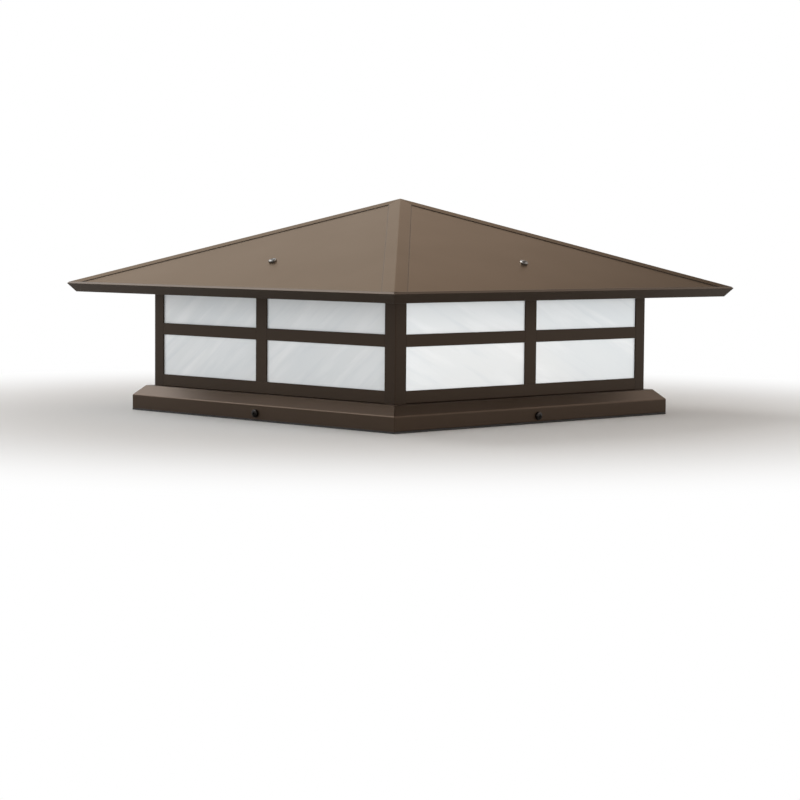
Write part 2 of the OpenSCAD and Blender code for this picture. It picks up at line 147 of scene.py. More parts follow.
def start(primitive, **place):
    """A new primitive, alone in the selection and open in edit mode."""
    if bpy.context.object and bpy.context.object.mode == "EDIT":
        bpy.ops.object.mode_set(mode="OBJECT")
    bpy.ops.object.select_all(action="DESELECT")
    primitive(**place)
    bpy.ops.object.mode_set(mode="EDIT")
    bpy.ops.mesh.select_mode(type="VERT")
    bpy.ops.mesh.select_all(action="SELECT")
    return bpy.context.object


def draw_out(step):
    """Extrudes what is selected."""
    bpy.ops.mesh.extrude_region_move(TRANSFORM_OT_translate={"value": step})


def line(points, closed=False):
    """A line drawn from point to point. It starts as a plane that is drawn together to one corner."""
    piece = start(bpy.ops.mesh.primitive_plane_add, size=MM)
    bpy.ops.mesh.merge(type="CENTER")
    bpy.ops.transform.translate(value=points[0])
    for here, there in zip(points, points[1:]):
        draw_out(Vector(there) - Vector(here))
    bpy.ops.mesh.select_all(action="SELECT")
    if closed:
        bpy.ops.mesh.edge_face_add()
    return piece


def middle(item):
    """Middle of a corner, edge or face."""
    if isinstance(item, bmesh.types.BMVert):
        return item.co
    return sum((corner.co for corner in item.verts), Vector()) / len(item.verts)


def pick(what, test):
    """Selects only the corners, edges or faces that pass a test."""
    bpy.ops.mesh.select_mode(type=what)
    bpy.ops.mesh.select_all(action="DESELECT")
    mesh = bmesh.from_edit_mesh(bpy.context.object.data)
    for item in {"VERT": mesh.verts, "EDGE": mesh.edges, "FACE": mesh.faces}[what]:
        if test(item):
            item.select_set(True)
    mesh.select_flush_mode()
    bmesh.update_edit_mesh(bpy.context.object.data)


def cut(point, normal):
    """Trims away what lies on the side of a plane that its normal points to."""
    bpy.ops.mesh.select_all(action="SELECT")
    bpy.ops.mesh.bisect(
        plane_co=point, plane_no=normal, clear_outer=True, use_fill=True, threshold=WELD / 10
    )


def spun(steps):
    """Spins what is selected once round the upright axis and closes the seam."""
    bpy.ops.mesh.select_all(action="SELECT")
    bpy.ops.mesh.spin(steps=steps, angle=FULL_TURN, center=(0, 0, 0), axis=(0, 0, 1))
    bpy.ops.mesh.select_all(action="SELECT")
    bpy.ops.mesh.remove_doubles(threshold=WELD)


def face_away(middle_point=(0, 0, 0)):
    """Turns the faces of an open sheet away from a point."""
    bpy.ops.mesh.select_all(action="SELECT")
    bpy.ops.mesh.normals_make_consistent(inside=False)
    mesh = bmesh.from_edit_mesh(bpy.context.object.data)
    away = sum(
        face.normal.dot(face.calc_center_median() - Vector(middle_point)) * face.calc_area()
        for face in mesh.faces
    )
    if away < 0:
        bpy.ops.mesh.flip_normals()


def outwards():
    """Merges doubles and turns the faces of a closed piece outwards."""
    bpy.ops.mesh.select_all(action="SELECT")
    bpy.ops.mesh.remove_doubles(threshold=WELD)
    bpy.ops.mesh.normals_make_consistent(inside=False)


def modify(piece, kind, **settings):
    """Adds a modifier and applies it."""
    if piece.mode == "EDIT":
        bpy.ops.object.mode_set(mode="OBJECT")
    bpy.ops.object.select_all(action="DESELECT")
    bpy.context.view_layer.objects.active = piece
    piece.select_set(True)
    modifier = piece.modifiers.new(kind.title(), kind)
    for key, value in settings.items():
        setattr(modifier, key, value)
    bpy.ops.object.modifier_apply(modifier=modifier.name)


def thicken(piece, sheet):
    """Gives a sheet its thickness, behind its faces."""
    modify(piece, "SOLIDIFY", thickness=sheet, offset=-1, use_even_offset=True)


def ease(piece, width, angle=30):
    """Takes the sharpness off the edges."""
    modify(
        piece,
        "BEVEL",
        width=width,
        segments=2,
        limit_method="ANGLE",
        angle_limit=math.radians(angle),
        use_clamp_overlap=True,
    )


def smooth(piece, angle=35):
    """Shades eased edges round and leaves the large faces between them flat."""
    bpy.ops.object.select_all(action="DESELECT")
    bpy.context.view_layer.objects.active = piece
    piece.select_set(True)
    bpy.ops.object.shade_smooth_by_angle(angle=math.radians(angle))
    modify(piece, "WEIGHTED_NORMAL", mode="FACE_AREA", weight=100, keep_sharp=True)


def join(pieces):
    """Joins pieces into the first one."""
    if bpy.context.object and bpy.context.object.mode == "EDIT":
        bpy.ops.object.mode_set(mode="OBJECT")
    bpy.ops.object.select_all(action="DESELECT")
    for piece in pieces:
        piece.select_set(True)
    bpy.context.view_layer.objects.active = pieces[0]
    bpy.ops.object.join()
    return pieces[0]


def twin(piece, place):
    """A copy with its own mesh, moved to its place by a matrix."""
    copy = piece.copy()
    copy.data = piece.data.copy()
    copy.data.transform(place)
    bpy.context.scene.collection.objects.link(copy)
    return copy


def quarter(k):
    """A turn of k quarters round the upright axis."""
    return Matrix.Rotation(k * math.pi / 2, 4, "Z")


def paint(piece, material):
    """Gives a piece one finish."""
    piece.data.materials.clear()
    piece.data.materials.append(material)


def fit(piece, name, body, slot, *nodes):
    """Names a finished piece, puts it on its body and in place of its nodes."""
    if piece.mode == "EDIT":
        bpy.ops.object.mode_set(mode="OBJECT")
    piece.name = name
    piece.data.name = name
    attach(piece, body)
    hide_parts(*nodes)


def round_the_sides(piece, name, body, slot, node):
    """Fits a piece of the front side and its copies on the three other sides."""
    copies = [piece] + [twin(piece, quarter(k)) for k in (1, 2, 3)]
    for copy, side in zip(copies, SIDES):
        fit(copy, f"{name}_{side}", body, slot, f"{node}_{side}")


def round_the_corners(piece, name, body, slot, node):
    """Fits a piece of the front right corner and its copies on the three other corners."""
    copies = [piece] + [twin(piece, quarter(k)) for k in (1, 2, 3)]
    for copy, corner in zip(copies, CORNERS):
        of_body = f"{body}_{corner}" if body == "lamp" else body
        fit(copy, f"{name}_{corner}", of_body, slot, f"{node}_{corner}")


def arc(centre, radius, first, last, steps):
    """Points (out, height) on an arc, in degrees."""
    return [
        (
            centre[0] + radius * math.cos(math.radians(first + (last - first) * i / steps)),
            centre[1] + radius * math.sin(math.radians(first + (last - first) * i / steps)),
        )
        for i in range(steps + 1)
    ]


# ---- Finishes ----


class Finish:
    """A node material on object coordinates, built round one Principled shader."""

    def __init__(self, name, **sockets):
        self.material = bpy.data.materials.new(name)
        self.material.use_nodes = True
        self.nodes = self.material.node_tree.nodes
        self.links = self.material.node_tree.links
        self.shader = self.nodes["Principled BSDF"]
        self.place = self.nodes.new("ShaderNodeTexCoord").outputs["Object"]
        for socket, value in sockets.items():
            self.shader.inputs[socket.replace("_", " ")].default_value = value

    def along_the_walls(self):
        """Puts the pattern flat on the four walls: across them, then up."""
        parts = self.nodes.new("ShaderNodeSeparateXYZ")
        across = self.nodes.new("ShaderNodeMath")
        flat = self.nodes.new("ShaderNodeCombineXYZ")
        self.links.new(self.place, parts.inputs[0])
        self.links.new(parts.outputs["X"], across.inputs[0])
        self.links.new(parts.outputs["Y"], across.inputs[1])
        self.links.new(across.outputs[0], flat.inputs["X"])
        self.links.new(parts.outputs["Z"], flat.inputs["Y"])
        self.place = flat.outputs[0]

    def grain(self, scale, detail=3.0, stretch=(1, 1, 1), turn=(0, 0, 0), roughness=0.5, twist=0.0):
        """Noise with so many features to the metre, stretched and turned. Gives its factor."""
        mapping = self.nodes.new("ShaderNodeMapping")
        mapping.vector_type = "TEXTURE"
        mapping.inputs["Rotation"].default_value = [math.radians(a) for a in turn]
        mapping.inputs["Scale"].default_value = stretch
        texture = self.nodes.new("ShaderNodeTexNoise")
        texture.inputs["Scale"].default_value = scale
        texture.inputs["Detail"].default_value = detail
        texture.inputs["Roughness"].default_value = roughness
        texture.inputs["Distortion"].default_value = twist
        self.links.new(self.place, mapping.inputs["Vector"])
        self.links.new(mapping.outputs["Vector"], texture.inputs["Vector"])
        return texture.outputs["Fac"]

    def spread(self, factor, low, high, to_low=0.0, to_high=1.0):
        """Maps a stretch of a factor to another, clamped."""
        node = self.nodes.new("ShaderNodeMapRange")
        for socket, value in zip(
            ("From Min", "From Max", "To Min", "To Max"), (low, high, to_low, to_high)
        ):
            node.inputs[socket].default_value = value
        self.links.new(factor, node.inputs["Value"])
        return node.outputs["Result"]

    def mixed(self, factor, first, second):
        """Colour between two, each a colour or a socket."""
        node = self.nodes.new("ShaderNodeMix")
        node.data_type = "RGBA"
        self.links.new(factor, node.inputs["Factor"])
        for socket, value in ((node.inputs[6], first), (node.inputs[7], second)):
            if isinstance(value, tuple):
                socket.default_value = (*value, 1)
            else:
                self.links.new(value, socket)
        return node.outputs[2]

    def colour(self, socket):
        """Takes the base colour from a socket."""
        self.links.new(socket, self.shader.inputs["Base Color"])

    def rough(self, factor, low, high):
        """Roughness that follows a factor."""
        self.links.new(self.spread(factor, 0.3, 0.7, low, high), self.shader.inputs["Roughness"])

    def bump(self, height, depth):
        """Relief of a depth in metres."""
        node = self.nodes.new("ShaderNodeBump")
        node.inputs["Strength"].default_value = 1.0
        node.inputs["Distance"].default_value = depth
        self.links.new(height, node.inputs["Height"])
        self.links.new(node.outputs["Normal"], self.shader.inputs["Normal"])


def powder_coat(name, tones, roughness, sheen, sparkle, peel):
    """Satin bronze coat between two close tones and two degrees of roughness.

    Sheen is the colour of its glancing light, sparkle the share of bright flake in it, and peel
    the depth of its orange peel.
    """
    dark, light = tones
    coat = Finish(name, Metallic=0.65, IOR=1.5)
    coat.shader.inputs["Specular IOR Level"].default_value = 0.3
    coat.shader.inputs["Specular Tint"].default_value = (*sheen, 1)
    cloud = coat.grain(9, detail=2)
    flake = coat.grain(2200, detail=1)
    tone = coat.mixed(coat.spread(cloud, 0.2, 0.8), dark, light)
    spark = coat.spread(flake, 0.6, 0.8, 0, sparkle)
    coat.colour(coat.mixed(spark, tone, tuple(1.8 * part for part in light)))
    coat.rough(coat.grain(12, detail=2), *roughness)
    coat.bump(coat.grain(800, detail=1), peel)
    return coat.material


def art_glass(name, slant):
    """Opalescent sheet: long wisps of white at a slant in degrees, in a pale blue-grey ground."""
    pale_blue = (0.74, 0.785, 0.81)
    pale_grey = (0.81, 0.83, 0.835)
    white_wisp = (0.87, 0.895, 0.91)
    blue_thread = (0.66, 0.71, 0.745)
    slanted = (0, 0, slant)
    glass = Finish(name, IOR=1.5)
    glass.shader.inputs["Coat Weight"].default_value = 0.3
    glass.shader.inputs["Coat Roughness"].default_value = 0.05
    glass.along_the_walls()
    cloud = glass.grain(8, detail=2, stretch=(2, 1, 1), turn=slanted)
    ground = glass.mixed(glass.spread(cloud, 0.35, 0.65), pale_blue, pale_grey)
    wisps = glass.grain(44, detail=5, stretch=(7, 1, 1), turn=slanted, roughness=0.55, twist=0.3)
    wispy = glass.mixed(glass.spread(wisps, 0.48, 0.68, 0, 0.75), ground, white_wisp)
    threads = glass.grain(120, detail=3, stretch=(12, 1, 1), turn=(0, 0, slant - 4), twist=0.3)
    glass.colour(glass.mixed(glass.spread(threads, 0.55, 0.75, 0, 0.4), wispy, blue_thread))
    glass.rough(wisps, 0.12, 0.26)
    glass.bump(glass.grain(70, detail=2, stretch=(3, 1, 1), turn=slanted), 0.04 * MM)
    return glass.material


def plain_metal(name, dark, light, low_rough, high_rough, brush=(1, 1, 1)):
    """Bare or plated metal with clouds, fine marks and a faint polish pattern."""
    metal = Finish(name, Metallic=1.0)
    marks = metal.grain(300, detail=3, stretch=brush)
    metal.colour(metal.mixed(metal.spread(metal.grain(60, detail=4), 0.35, 0.65), dark, light))
    metal.rough(marks, low_rough, high_rough)
    metal.bump(marks, 0.006 * MM)
    return metal.material


def soft_finish(name, dark, light, low_rough, high_rough, size, depth):
    """Paint, porcelain, foam or rubber: two close tones and a relief of one grain size."""
    finish = Finish(name)
    finish.colour(finish.mixed(finish.spread(finish.grain(30, detail=4), 0.3, 0.7), dark, light))
    finish.rough(finish.grain(90, detail=3), low_rough, high_rough)
    finish.bump(finish.grain(size, detail=2), depth)
    return finish.material


PALE_SHEEN = (1.0, 0.98, 0.95)
WARM_SHEEN = (1.0, 0.80, 0.62)
FRAME_TONES = ((0.028, 0.0172, 0.0100), (0.031, 0.0194, 0.0116))
# The posts' tones are darker than the frame's: painted shade, the same bronze as it falls in the shade
# under the eaves
SHADED_POST_TONES = ((0.025, 0.0153, 0.0090), (0.028, 0.0175, 0.0105))
# The skirt's tones are lighter than the frame's: painted light, the same bronze as it looks lit by light
# thrown up from below
LIT_SKIRT_TONES = ((0.038, 0.0237, 0.0145), (0.042, 0.0265, 0.0165))
ROOF_TONES = ((0.030, 0.0186, 0.0109), (0.032, 0.0200, 0.0119))
BRONZE = powder_coat("bronze_coat", FRAME_TONES, (0.36, 0.40), PALE_SHEEN, 0.3, 0.003 * MM)
SHADED_POST_BRONZE = powder_coat("post_coat_painted_shade", SHADED_POST_TONES, (0.28, 0.32), PALE_SHEEN, 0.3, 0.002 * MM)
LIT_SKIRT_BRONZE = powder_coat("skirt_coat_painted_light", LIT_SKIRT_TONES, (0.40, 0.45), PALE_SHEEN, 0.3, 0.004 * MM)
ROOF_BRONZE = powder_coat("roof_coat", ROOF_TONES, (0.28, 0.30), WARM_SHEEN, 0.05, 0.0003 * MM)
GLASS = art_glass("streaked_glass", 38)
TURNED_GLASS = art_glass("streaked_glass_turned", -22)
BLACKENED = plain_metal("blackened_steel", (0.012, 0.011, 0.010), (0.035, 0.031, 0.029), 0.1, 0.18)
STAINLESS = plain_metal("stainless_steel", (0.12, 0.117, 0.112), (0.2, 0.195, 0.19), 0.14, 0.22)
ZINC = plain_metal("zinc_plate", (0.52, 0.53, 0.55), (0.66, 0.66, 0.65), 0.28, 0.42)
NICKEL = plain_metal("nickel_shell", (0.58, 0.55, 0.50), (0.70, 0.67, 0.62), 0.2, 0.32, (1, 1, 0.2))
SOLDER = plain_metal("solder_tip", (0.5, 0.5, 0.52), (0.68, 0.68, 0.70), 0.25, 0.45)
EARTH_GREEN = plain_metal("green_screw", (0.03, 0.22, 0.08), (0.05, 0.32, 0.12), 0.25, 0.4)
ENAMEL = soft_finish("white_enamel", (0.78, 0.78, 0.76), (0.84, 0.84, 0.82), 0.28, 0.38, 350, 0.01 * MM)
PORCELAIN = soft_finish("porcelain", (0.80, 0.78, 0.72), (0.86, 0.84, 0.79), 0.1, 0.18, 120, 0.02 * MM)
OPAL = soft_finish("opal_glass", (0.86, 0.85, 0.81), (0.92, 0.91, 0.88), 0.12, 0.2, 200, 0.004 * MM)
BLACK_GLASS = soft_finish(
    "insulator", (0.012, 0.012, 0.014), (0.03, 0.03, 0.035), 0.08, 0.2, 300, 0.01 * MM
)
RUBBER = soft_finish("rubber", (0.018, 0.018, 0.018), (0.03, 0.03, 0.03), 0.55, 0.7, 700, 0.02 * MM)
FOAM = soft_finish("foam", (0.012, 0.012, 0.012), (0.028, 0.027, 0.026), 0.85, 0.95, 1600, 0.15 * MM)

# ---- Base skirt: one sheet, spun in four steps so that its corners are mitred ----


def at_corner(points):
    """Points (out, height) on the diagonal of the front right corner."""
    return [(out, -out, height) for out, height in points]


def skirt_shell():
    """Wall, round edge, shoulder and ledge in one outline, with their inner faces behind them."""
    wall_top = LEDGE_Z - SHOULDER
    fold = math.tan(math.pi / 8)
    edge = arc((SKIRT - EDGE_R, wall_top - EDGE_R * fold), EDGE_R, 0, 45, 6)
    ledge_out = SKIRT - SHOULDER
    section = [(SKIRT, SEAL_TOP), *edge, (ledge_out, LEDGE_Z), (FLANGE_IN, LEDGE_Z)]
    section += [
        (FLANGE_IN, LEDGE_Z - SKIRT_SHEET),
        (ledge_out - SKIRT_SHEET * fold, LEDGE_Z - SKIRT_SHEET),
        (SKIRT - SKIRT_SHEET, wall_top - SKIRT_SHEET * fold),
        (SKIRT - SKIRT_SHEET, SEAL_TOP),
        (SKIRT, SEAL_TOP),
    ]
    piece = line(at_corner(section))
    spun(4)
    outwards()
    round_edge = wall_top + SKIRT - 2 * EDGE_R

    def to_bevel(edge):
        """A mitre's outer edge from the round edge up, or any edge of the right or left wall's face."""
        out = abs(middle(edge).x)
        mitred = all(abs(abs(v.co.x) - abs(v.co.y)) < 0.01 * MM for v in edge.verts)
        outside = out > ledge_out - SKIRT_SHEET / 2 and middle(edge).z + out > round_edge
        return mitred and outside or out > SKIRT - SEAM

    pick("EDGE", to_bevel)
    bpy.ops.mesh.bevel(offset=SKIRT_FOLD, segments=3, affect="EDGES")
    ease(piece, 0.3 * MM, angle=40)
    smooth(piece)
    # The skirt coat's lighter tones are painted light
    paint(piece, LIT_SKIRT_BRONZE)
    fit(piece, "skirt_shell", "housing", "bronze", "base_skirt")


# ---- Body frame: folded posts and rails, flat bars halved into each other ----


def folded_post():
    """One sheet folded round the front right corner, its fold rounded."""
    piece = line(
        [(OPENING, -BODY, LEDGE_Z), (BODY, -BODY, LEDGE_Z), (BODY, -OPENING, LEDGE_Z)]
    )
    draw_out((0, 0, SEAT_Z - LEDGE_Z))
    pick("EDGE", lambda edge: middle(edge).x > BODY - SEAM and middle(edge).y < SEAM - BODY)
    bpy.ops.mesh.bevel(offset=POST_FOLD, segments=4, affect="EDGES")
    face_away()
    thicken(piece, SHEET)
    ease(piece, CUT_EDGE)
    smooth(piece)
    # The post coat's darker tones are painted shade
    paint(piece, SHADED_POST_BRONZE)
    round_the_corners(piece, "post", "housing", "bronze", "corner_post")


def bottom_rail():
    """Plate with a flange turned in along the ledge, mitred at its ends."""
    piece = line(
        [(-RAIL_END, -BODY, PANE_Z), (-RAIL_END, -BODY, LEDGE_Z), (-RAIL_END, -FLANGE_IN, LEDGE_Z)]
    )
    draw_out((2 * RAIL_END, 0, 0))
    pick("EDGE", lambda edge: (middle(edge) - Vector((0, -BODY, LEDGE_Z))).length < SEAM)
    bpy.ops.mesh.bevel(offset=RAIL_FOLD, segments=3, affect="EDGES")
    face_away()
    thicken(piece, SHEET)
    bpy.ops.object.mode_set(mode="EDIT")
    for side in (-1, 1):
        cut((0, 0, 0), (side, 1, 0))
    ease(piece, CUT_EDGE)
    smooth(piece)
    paint(piece, BRONZE)
    round_the_sides(piece, "rail_bottom", "housing", "bronze", "bottom_rail")


def top_rail():
    """Plate, and a flange at the roof's slope with a slot for the roof screw in its middle."""
    slot_half = SCREW_R + 0.3 * MM
    slot_run = 3.8 * MM
    slot_out = ROOF_SCREW_OUT + slot_half
    slot_in = ROOF_SCREW_OUT - slot_half - slot_run
    stations = [-RAIL_END, -SEAT_HALF, -slot_half, slot_half, SEAT_HALF, RAIL_END]
    piece = line([(x, -BODY, TOP_RAIL_Z) for x in stations])
    draw_out((0, 0, SEAT_Z - TOP_RAIL_Z))
    pick("EDGE", lambda edge: middle(edge).z > SEAT_Z - SEAM and abs(middle(edge).x) < SEAT_HALF)
    flange_end = SEAT_IN + SHEET * math.sin(SLOPE)
    for outer, inner in ((BODY, slot_out), (slot_out, slot_in), (slot_in, flange_end)):
        draw_out((0, outer - inner, (outer - inner) * RISE))

    def in_slot(face):
        return abs(middle(face).x) < slot_half and slot_in < -middle(face).y < slot_out

    pick("FACE", in_slot)
    bpy.ops.mesh.delete(type="FACE")
    face_away((0, 0, TOP_RAIL_Z))
    thicken(piece, SHEET)
    ease(piece, CUT_EDGE)
    smooth(piece)
    paint(piece, BRONZE)
    round_the_sides(piece, "rail_top", "housing", "bronze", "top_rail")


def bars(k):
    """The cross bar passes behind the upright bar, each halved where they meet."""
    side = SIDES[k]
    low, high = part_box("upright_bar_front" if k % 2 == 0 else "upright_bar_right")
    along = (low.x, high.x) if k % 2 == 0 else (low.y, high.y)
    play = 0.05 * MM
    first, last = along[0] - play, along[1] + play
    front, back, half = -BODY, SHEET - BODY, SHEET / 2 - BODY
    cross = line(
        [
            (-RAIL_END, front, CROSS_LOW),
            (first, front, CROSS_LOW),
            (first, half, CROSS_LOW),
            (last, half, CROSS_LOW),
            (last, front, CROSS_LOW),
            (RAIL_END, front, CROSS_LOW),
            (RAIL_END, back, CROSS_LOW),
            (-RAIL_END, back, CROSS_LOW),
        ],
        closed=True,
    )
    draw_out((0, 0, CROSS_HIGH - CROSS_LOW))
    outwards()
    ease(cross, CUT_EDGE)
    upright = line(
        [
            (along[0], front, PANE_Z),
            (along[0], front, TOP_RAIL_Z),
            (along[0], back, TOP_RAIL_Z),
            (along[0], back, CROSS_HIGH),
            (along[0], half, CROSS_HIGH),
            (along[0], half, CROSS_LOW),
            (along[0], back, CROSS_LOW),
            (along[0], back, PANE_Z),
        ],
        closed=True,
    )
    draw_out((along[1] - along[0], 0, 0))
    outwards()
    ease(upright, CUT_EDGE)
    for piece, name in ((cross, "cross"), (upright, "upright")):
        smooth(piece)
        paint(piece, BRONZE)
        piece.data.transform(quarter(k))
        fit(piece, f"bar_{name}_{side}", "housing", "bronze", f"{name}_bar_{side}")


# ---- Glass: rolled sheet, with a slow ripple in its face ----


def pane():
    """A sheet drawn up row by row and rippled. Its streaks slant the other way on two sides."""
    low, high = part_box("glass_panel_front")
    columns, rows = 110, 34
    swell = 0.09 * MM
    ripple_room = 0.3 * MM
    step = (high.x - low.x) / columns
    rise = (high.z - low.z) / rows
    piece = line([(low.x + i * step, low.y, low.z) for i in range(columns + 1)])
    for _ in range(rows):
        draw_out((0, 0, rise))
    mesh = bmesh.from_edit_mesh(piece.data)
    for corner in mesh.verts:
        where = Vector((corner.co.x + corner.co.z, corner.co.z - 0.3 * corner.co.x, 0))
        ripple = noise.noise(where * 45) + 0.5 * noise.noise(where * 110)
        corner.co.y += swell * (1.5 + ripple)
    bmesh.update_edit_mesh(piece.data)
    face_away()
    thicken(piece, high.y - low.y - ripple_room)
    ease(piece, 0.3 * MM, angle=60)
    smooth(piece)
    paint(piece, GLASS)
    round_the_sides(piece, "pane", "housing", "art_glass", "glass_panel")
    for side in ("right", "left"):
        paint(bpy.data.objects[f"pane_{side}"], TURNED_GLASS)


# ---- Roof: folded hip caps and eaves drawn from their section ----


def hip_fold():
    """Thin cap folded over a hip, its legs down to near the roof sheets, on dark strips of painted shade
    for the shadow lines along its edges.
    """
    across = HIP_W * math.sqrt(2)
    stand = HIP_STAND / math.cos(SLOPE)
    fall = stand - HIP_EDGE_STAND

    def ridge(plan):
        return (plan, -plan, roof_top(plan) + stand)

    def on_ridge(edge):
        return all(abs(v.co.x + v.co.y) < SEAM for v in edge.verts)

    piece = line([ridge(0), ridge(EAVE_EDGE)])
    draw_out((-across, 0, -fall))
    pick("EDGE", on_ridge)
    draw_out((0, across, -fall))
    pick("EDGE", on_ridge)
    bpy.ops.mesh.bevel(offset=HIP_FOLD, segments=3, affect="EDGES")
    face_away()
    thicken(piece, HIP_SHEET)
    bpy.ops.object.mode_set(mode="EDIT")
    cut((0, 0, 0), (-1, 0, 0))
    cut((0, 0, 0), (0, 1, 0))
    ease(piece, 0.12 * MM)
    first = across / 2 + MM
    run = EAVE_EDGE - first
    # A dark strip along the cap's edge, painted shade for the shadow line there
    shade_strip = line(
        [(first - across + under * MM, -first, roof_top(first) + up * MM) for under, up in SHADE_STRIP_SECTION],
        closed=True,
    )
    draw_out((run, -run, -run * RISE))
    outwards()
    bpy.ops.object.mode_set(mode="OBJECT")
    over_the_hip = Matrix(((0, -1, 0, 0), (-1, 0, 0, 0), (0, 0, 1, 0), (0, 0, 0, 1)))
    other = twin(shade_strip, over_the_hip)
    other.data.flip_normals()
    # The two black strips are painted shade: they stand in for the shadow line along each edge of the cap
    for part, material in ((piece, ROOF_BRONZE), (shade_strip, RUBBER), (other, RUBBER)):
        paint(part, material)
    piece = join([piece, shade_strip, other])
    smooth(piece)
    round_the_corners(piece, "hip_fold", "roof", "roof_bronze", "hip_cap")


def eave():
    """Hem, shelf under the roof sheet, flat return and bevel, in one outline."""
    foot_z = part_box("eave_trim_front")[0].z
    edge_z = roof_top(ROOF)
    hem_in = ROOF - HEM - HEM_TOP
    shelf_in = hem_in - EAVE_SHELF
    return_in = EAVE_FOOT - EAVE_RETURN
    rise = (edge_z - foot_z) / (ROOF - EAVE_FOOT)
    behind = SHEET * math.hypot(1, rise)

    def shelf_low(plan):
        return roof_low(plan) - SHEET / math.cos(SLOPE)

    def bevel_back(plan):
        return foot_z + behind + (plan - EAVE_FOOT) * rise

    meet = hem_in - (bevel_back(hem_in) - shelf_low(hem_in)) / (rise + RISE)
    section = [
        (ROOF, edge_z),
        (ROOF - HEM, edge_z + HEM),
        (hem_in, edge_z + HEM),
        (hem_in, roof_low(hem_in)),
        (shelf_in, roof_low(shelf_in)),
        (shelf_in, shelf_low(shelf_in)),
        (meet, bevel_back(meet)),
        (EAVE_FOOT - (behind - SHEET) / rise, foot_z + SHEET),
        (return_in, foot_z + SHEET),
        (return_in, foot_z),
        (EAVE_FOOT, foot_z),
    ]
    piece = line([(-ROOF, -out, height) for out, height in section], closed=True)
    draw_out((2 * ROOF, 0, 0))
    for side in (-1, 1):
        cut((0, 0, 0), (side, 1, 0))
    outwards()
    ease(piece, CUT_EDGE, angle=32)
    smooth(piece)
    paint(piece, BRONZE)
    round_the_sides(piece, "eave", "roof", "bronze", "eave_trim")


# ---- Screws ----


def helix(points, pitch, turns, steps):
    """A thread's surface: one pitch of its profile, wound up the axis."""
    piece = line([(out, 0, height) for out, height in points])
    modify(
        piece,
        "SCREW",
        angle=FULL_TURN,
        screw_offset=pitch,
        iterations=turns,
        steps=steps,
        render_steps=steps,
        use_merge_vertices=True,
        merge_threshold=WELD,
    )
    bpy.ops.object.mode_set(mode="EDIT")
    return piece


def threaded(root, crest, pitch, low, high, profile, steps=20):
    """A closed threaded shank between two heights."""
    turns = math.ceil((high - low) / pitch) + 2
    points = [(root + (crest - root) * out, low - pitch + pitch * up) for out, up in profile]
    piece = helix(points, pitch, turns, steps)
    bpy.ops.mesh.select_all(action="SELECT")
    bpy.ops.mesh.remove_doubles(threshold=WELD)
    cut((0, 0, low), (0, 0, -1))
    cut((0, 0, high), (0, 0, 1))
    outwards()
    return piece


SHARP_THREAD = [(0, 0), (0.9, 0.36), (1, 0.42), (1, 0.5), (0.9, 0.56), (0, 0.92), (0, 1)]
ROUND_THREAD = [(0.5 - 0.5 * math.cos(FULL_TURN * i / 8), i / 8) for i in range(9)]


def pan_screw(length, material):
    """Domed head with a crossed recess, on a threaded shank. It stands at Z = 0, head up."""
    crown_r = 1.5 * MM
    chamfer = 0.15 * MM
    recess = (4.6 * MM, 0.95 * MM, 2.4 * MM)
    pitch = 0.8 * MM
    crown = arc((HEAD_R - crown_r, HEAD_H - 1.75 * MM), crown_r, 5, 62, 5)
    profile = [(0, 0), (HEAD_R - chamfer, 0), (HEAD_R, chamfer), *crown]
    profile += [(1.9 * MM, HEAD_H - 0.08 * MM), (0, HEAD_H)]
    head = line([(out, 0, height) for out, height in profile])
    spun(28)
    outwards()
    cutters = []
    for turn in (0, math.pi / 2):
        cutter = start(bpy.ops.mesh.primitive_cube_add, size=1)
        bpy.ops.transform.resize(value=recess)
        bpy.ops.transform.translate(value=(0, 0, HEAD_H))
        pick("FACE", lambda face: face.normal.z < -0.5)
        bpy.ops.transform.resize(value=(0.35, 0.6, 1))
        bpy.ops.object.mode_set(mode="OBJECT")
        cutter.data.transform(Matrix.Rotation(turn, 4, "Z"))
        cutters.append(cutter)
    cutter = join(cutters)
    modify(head, "BOOLEAN", operation="DIFFERENCE", object=cutter, solver="EXACT", use_self=True)
    bpy.data.objects.remove(cutter)
    shank = threaded(0.78 * SCREW_R, SCREW_R, pitch, -length, 0.4 * MM, SHARP_THREAD)
    screw = join([head, shank])
    smooth(screw, 40)
    paint(screw, material)
    return screw


def lay_screws(screw, places, name, body, slot, node):
    """One piece of several screws, each at its place."""
    pieces = [twin(screw, place) for place in places]
    bpy.data.objects.remove(screw)
    fit(join(pieces), name, body, slot, node)


def shift(x, y, z):
    """A move, as a matrix."""
    return Matrix.Translation((x, y, z))


def lamp_place(k):
    """From the middle to the axis of one of the four lamps."""
    return quarter(k) @ shift(LAMP, -LAMP, 0)


